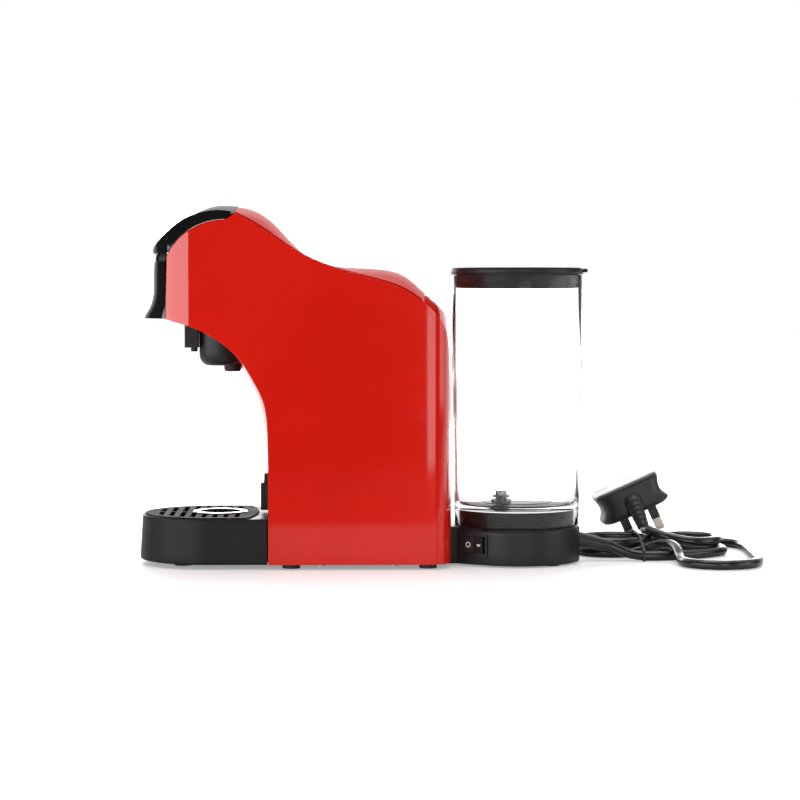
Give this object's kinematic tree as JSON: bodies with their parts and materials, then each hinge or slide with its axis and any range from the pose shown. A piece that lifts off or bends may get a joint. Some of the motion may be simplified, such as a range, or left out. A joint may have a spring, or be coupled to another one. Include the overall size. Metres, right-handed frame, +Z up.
{
  "type": "espresso machine",
  "caption": "Capsule espresso machine with a rounded upright housing, lift-up brew lid with lever, slide-out drip tray and a clear round water tank at the back.",
  "frame": {"origin": "on the surface the machine stands on, at the middle of its length and width, without the mains cord", "axes": "+X towards the water tank at the back, -X the front with the drip tray, +Z up"},
  "size_m": [0.4379, 0.1828, 0.2519],
  "materials": {
    "red_gloss": "glossy",
    "black_gloss": "glossy",
    "black_satin": "satin, finely grained",
    "grey_plastic": "satin",
    "clear_plastic": "clear",
    "smoked_plastic": "translucent grey",
    "chrome": "polished",
    "steel": "brushed",
    "aluminium": "cast",
    "brass": "polished",
    "rubber": "matt",
    "silicone": "matt",
    "board_green": "satin"
  },
  "bodies": {
    "machine": {"side_panel_left": "red_gloss", "side_panel_right": "red_gloss", "spine_cover": "red_gloss", "rear_cover": "red_gloss", "front_cover": "red_gloss", "head_front_plate": "black_satin", "side_trims": "chrome", "lid_hinge_pin": "steel", "brew_chamber": "grey_plastic", "outlet_bowl": "black_satin", "spout": "black_satin", "outlet_bracket": "grey_plastic", "switch_housing": "black_satin", "tank_base": "black_satin", "tank_seat": "black_gloss", "dock_seal": "rubber", "chassis_plate": "black_satin", "feet": "rubber", "chassis_frame": "black_satin", "boiler": "aluminium", "boiler_bracket": "steel", "thermostat": "steel", "pump": "grey_plastic", "pump_mounts": "rubber", "flow_meter": "grey_plastic", "control_board": "board_green", "water_hoses": "silicone", "button_housing": "chrome", "tray_post": "black_satin", "shell_screws": "steel", "cord_gland": "rubber", "cord_hank": "rubber", "cord_tie": "rubber", "plug_body": "rubber", "plug_cover": "rubber", "plug_pins": "brass", "plug_relief": "rubber", "power_cord": "rubber", "plug_cord": "rubber"},
    "lid": {"lid_shell": "black_gloss", "lid_frame": "black_satin", "lid_lugs": "black_satin", "handle_pin": "chrome"},
    "handle": {"lever_handle": "black_gloss"},
    "plunger": {"brew_plunger": "grey_plastic", "plunger_seal": "silicone", "piercing_needle": "steel"},
    "tray": {"drip_tray": "black_satin"},
    "grid": {"tray_grid": "black_satin", "grid_ring": "chrome"},
    "tank": {"water_tank": "clear_plastic", "valve_body": "smoked_plastic", "valve_filter": "smoked_plastic"},
    "tank_top": {"tank_lid": "black_satin"},
    "poppet": {"valve_poppet": "grey_plastic"},
    "rocker": {"power_rocker": "black_satin"},
    "button_a": {"button_short": "red_gloss"},
    "button_b": {"button_long": "red_gloss"}
  },
  "joints": [
    {"name": "lid_hinge", "type": "hinge", "parent": "machine", "child": "lid", "pos_m": [-0.07, 0, 0.231], "axis": [0, 1, 0], "range_deg": [0, 50]},
    {"name": "handle_pivot", "type": "hinge", "parent": "lid", "child": "handle", "pos_m": [-0.137, 0, 0.212], "axis": [0, 1, 0], "range_deg": [0, 28]},
    {"name": "plunger_slide", "type": "slide", "parent": "lid", "child": "plunger", "axis": [0, 0, 1], "range_m": [0, 0.0025], "stiffness_N_per_m": 5, "springref_m": 0.014},
    {"name": "tray_slide", "type": "slide", "parent": "machine", "child": "tray", "axis": [-1, 0, 0], "range_m": [0, 0.095]},
    {"name": "grid_lift", "type": "slide", "parent": "tray", "child": "grid", "axis": [0, 0, 1], "range_m": [0, 0.03]},
    {"name": "tank_lift", "type": "slide", "parent": "machine", "child": "tank", "axis": [0, 0, 1], "range_m": [0, 0.06]},
    {"name": "tank_lid_lift", "type": "slide", "parent": "tank", "child": "tank_top", "axis": [0, 0, 1], "range_m": [0, 0.03]},
    {"name": "valve_travel", "type": "slide", "parent": "tank", "child": "poppet", "axis": [0, 0, 1], "range_m": [0, 0.0015], "stiffness_N_per_m": 60, "springref_m": -0.002},
    {"name": "rocker_pivot", "type": "hinge", "parent": "machine", "child": "rocker", "pos_m": [0.07741, -0.03003, 0.015], "axis": [0, 0, 1], "range_deg": [0, 14]},
    {"name": "button_short_press", "type": "slide", "parent": "machine", "child": "button_a", "axis": [0, 0, -1], "range_m": [0, 0.0015], "stiffness_N_per_m": 500, "springref_m": -0.001},
    {"name": "button_long_press", "type": "slide", "parent": "machine", "child": "button_b", "axis": [0, 0, -1], "range_m": [0, 0.0015], "stiffness_N_per_m": 500, "springref_m": -0.001}
  ],
  "couplings": [
    {"joint": "plunger_slide", "follows": "handle_pivot", "m_per_rad": 0.0051}
  ]
}
